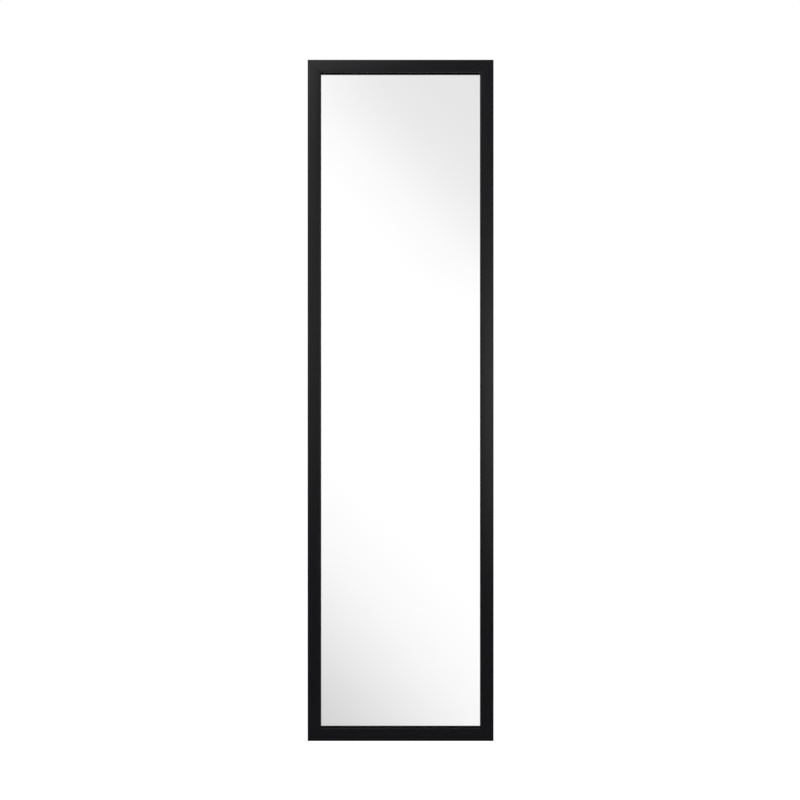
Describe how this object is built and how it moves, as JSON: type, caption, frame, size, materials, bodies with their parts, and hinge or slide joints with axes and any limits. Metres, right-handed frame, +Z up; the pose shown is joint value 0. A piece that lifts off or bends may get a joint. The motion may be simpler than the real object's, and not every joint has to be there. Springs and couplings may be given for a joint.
{
  "type": "pull-out closet mirror",
  "caption": "Tall framed mirror on a telescopic ball-bearing slide for a closet side panel; it pulls out and swings about an upright pivot to face the user.",
  "frame": {"origin": "middle of the mounting plate's back face, which lies on the closet's side panel; the slide and the mirror are centred on it", "axes": "+Z up along the mirror's height; -Y the way the stowed mirror faces; +X the way the slide pulls out"},
  "size_m": [0.333, 0.0526, 1.22],
  "materials": {
    "frame_black": "satin",
    "mirror_glass": "polished",
    "foam": "matte",
    "hardboard": "matte",
    "spring_steel": "satin",
    "zinc_plate": "satin",
    "slide_steel": "satin",
    "black_steel": "satin",
    "cast_key": "satin",
    "bearing_steel": "polished",
    "nylon": "matte",
    "black_rubber": "matte"
  },
  "bodies": {
    "panel_mount": {"mounting_plate": "black_steel", "slide_outer_member": "slide_steel", "slide_rear_stop": "black_rubber", "slide_rivet_1": "zinc_plate", "slide_rivet_2": "zinc_plate", "slide_rivet_3": "zinc_plate"},
    "outer_cage": {"ball_cage_outer": "bearing_steel"},
    "middle_slide": {"slide_middle_member": "slide_steel"},
    "inner_cage": {"ball_cage_inner": "bearing_steel"},
    "carriage": {"slide_inner_member": "slide_steel", "swivel_bracket": "black_steel", "bracket_screw_1": "zinc_plate", "bracket_screw_2": "zinc_plate", "bracket_screw_3": "zinc_plate", "pivot_bolt_upper": "zinc_plate", "pivot_bolt_lower": "zinc_plate", "pivot_spring_upper": "spring_steel", "pivot_spring_lower": "spring_steel", "pivot_nut_upper": "zinc_plate", "pivot_nut_lower": "zinc_plate"},
    "mirror": {"frame_stile_left": "frame_black", "frame_stile_right": "frame_black", "frame_rail_top": "frame_black", "frame_rail_bottom": "frame_black", "gasket_stile_left": "foam", "gasket_stile_right": "foam", "gasket_rail_top": "foam", "gasket_rail_bottom": "foam", "corner_key_top_left": "cast_key", "corner_key_top_right": "cast_key", "corner_key_bottom_right": "cast_key", "corner_key_bottom_left": "cast_key", "key_screw_top_left_1": "zinc_plate", "key_screw_top_left_2": "zinc_plate", "key_screw_top_right_1": "zinc_plate", "key_screw_top_right_2": "zinc_plate", "key_screw_bottom_right_1": "zinc_plate", "key_screw_bottom_right_2": "zinc_plate", "key_screw_bottom_left_1": "zinc_plate", "key_screw_bottom_left_2": "zinc_plate", "mirror_pane": "mirror_glass", "backing_board": "hardboard", "spring_clip_stile_left_1": "spring_steel", "spring_clip_stile_left_2": "spring_steel", "spring_clip_stile_right_1": "spring_steel", "spring_clip_stile_right_2": "spring_steel", "spring_clip_rail_top_1": "spring_steel", "spring_clip_rail_bottom_1": "spring_steel", "nut_strip_stile_left": "zinc_plate", "nut_strip_stile_right": "zinc_plate", "hinge_plate": "black_steel", "plate_screw_left_1": "zinc_plate", "plate_screw_left_2": "zinc_plate", "plate_screw_left_3": "zinc_plate", "plate_screw_right_1": "zinc_plate", "plate_screw_right_2": "zinc_plate", "plate_screw_right_3": "zinc_plate", "stow_buffer": "black_rubber", "pivot_bush_upper": "nylon", "pivot_bush_lower": "nylon"}
  },
  "joints": [
    {"name": "pull_out", "type": "slide", "parent": "panel_mount", "child": "carriage", "axis": [1, 0, 0], "range_m": [0, 0.3]},
    {"name": "middle_travel", "type": "slide", "parent": "panel_mount", "child": "middle_slide", "axis": [1, 0, 0], "range_m": [0, 0.15]},
    {"name": "outer_cage_travel", "type": "slide", "parent": "panel_mount", "child": "outer_cage", "axis": [1, 0, 0], "range_m": [0, 0.075]},
    {"name": "inner_cage_travel", "type": "slide", "parent": "panel_mount", "child": "inner_cage", "axis": [1, 0, 0], "range_m": [0, 0.225]},
    {"name": "mirror_swing", "type": "hinge", "parent": "carriage", "child": "mirror", "pos_m": [0.15, -0.0213, 0], "axis": [0, 0, 1], "range_deg": [0, 90]}
  ],
  "couplings": [
    {"joint": "middle_travel", "follows": "pull_out", "ratio": 0.5},
    {"joint": "outer_cage_travel", "follows": "pull_out", "ratio": 0.25},
    {"joint": "inner_cage_travel", "follows": "pull_out", "ratio": 0.75}
  ]
}
